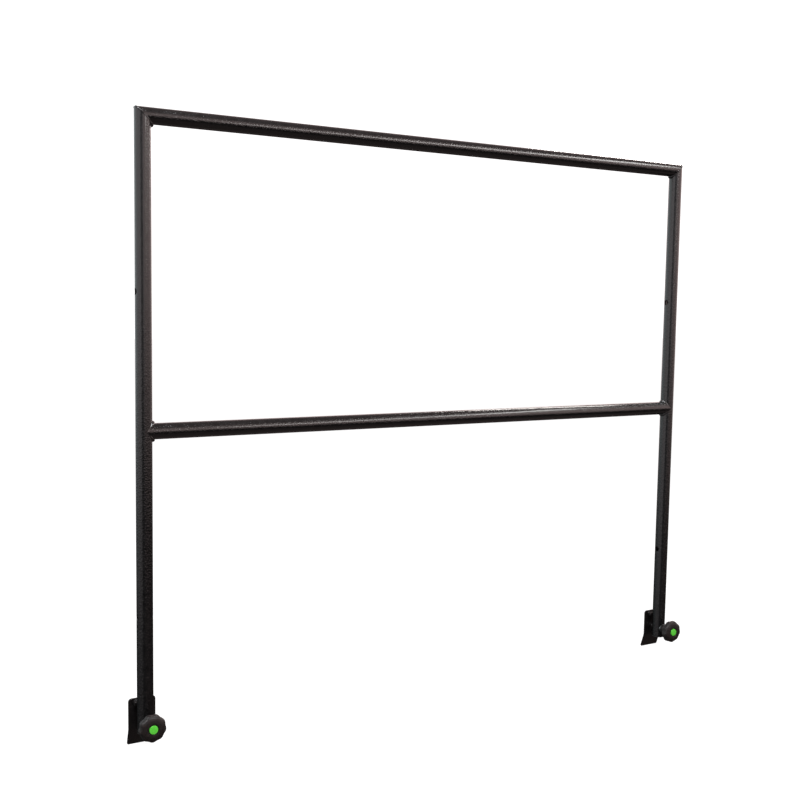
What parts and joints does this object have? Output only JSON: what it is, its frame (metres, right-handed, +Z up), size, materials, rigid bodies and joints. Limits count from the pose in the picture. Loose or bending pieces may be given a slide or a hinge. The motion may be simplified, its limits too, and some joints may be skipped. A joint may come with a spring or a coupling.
{
  "type": "clamp-on rail frame",
  "caption": "Round-tube rail frame with mitred corners and a mid rail, held to a platform flange by screw clamps with lobed knobs at the feet of its posts.",
  "frame": {"origin": "midway between the two clamps, on the bearing faces of the clamp plates, at the height where the clamp seats rest on the platform's flange", "axes": "+X along the rails towards the right post seen from the knobs, +Y from the posts towards the platform, +Z up the posts"},
  "size_m": [1.239, 0.0811, 1.091],
  "materials": {
    "frame_paint": "glossy near-black hammertone paint",
    "weld_paint": "painted-over weld bead, glossy",
    "plate_paint": "black hammertone paint, duller in the shade of the post",
    "bush_steel": "turned, zinc plated",
    "screw_steel": "rolled thread, zinc plated",
    "knob_plastic": "moulded, fine leather-like texture",
    "cap_plastic": "green, smooth",
    "washer_nylon": "black nylon",
    "plug_plastic": "black polyethylene"
  },
  "bodies": {
    "frame": {"top_rail": "frame_paint", "mid_rail": "frame_paint", "left_post": "frame_paint", "right_post": "frame_paint", "left_corner_weld": "weld_paint", "right_corner_weld": "weld_paint", "left_mid_weld": "weld_paint", "right_mid_weld": "weld_paint", "left_clamp_plate": "plate_paint", "right_clamp_plate": "plate_paint", "left_clamp_seat": "plate_paint", "right_clamp_seat": "plate_paint", "left_seat_weld": "weld_paint", "right_seat_weld": "weld_paint", "left_threaded_bush": "bush_steel", "right_threaded_bush": "bush_steel", "left_end_plug": "plug_plastic", "right_end_plug": "plug_plastic"},
    "left_washer_slide": {"left_washer": "washer_nylon"},
    "left_knob_screw": {"left_knob": "knob_plastic", "left_knob_cap": "cap_plastic", "left_clamp_screw": "screw_steel"},
    "right_washer_slide": {"right_washer": "washer_nylon"},
    "right_knob_screw": {"right_knob": "knob_plastic", "right_knob_cap": "cap_plastic", "right_clamp_screw": "screw_steel"}
  },
  "joints": [
    {"name": "left_screw_feed", "type": "slide", "parent": "frame", "child": "left_washer_slide", "axis": [0, -1, 0], "range_m": [0, 0.0153]},
    {"name": "left_knob_turn", "type": "hinge", "parent": "left_washer_slide", "child": "left_knob_screw", "pos_m": [-0.5955, 0, -0.025], "axis": [0, -1, 0], "range_deg": [0, 3600]},
    {"name": "right_screw_feed", "type": "slide", "parent": "frame", "child": "right_washer_slide", "axis": [0, -1, 0], "range_m": [0, 0.0153]},
    {"name": "right_knob_turn", "type": "hinge", "parent": "right_washer_slide", "child": "right_knob_screw", "pos_m": [0.5955, 0, -0.025], "axis": [0, -1, 0], "range_deg": [0, 3600]}
  ],
  "couplings": [
    {"joint": "left_screw_feed", "follows": "left_knob_turn", "m_per_rad": 0.00023873},
    {"joint": "right_screw_feed", "follows": "right_knob_turn", "m_per_rad": 0.00023873}
  ]
}
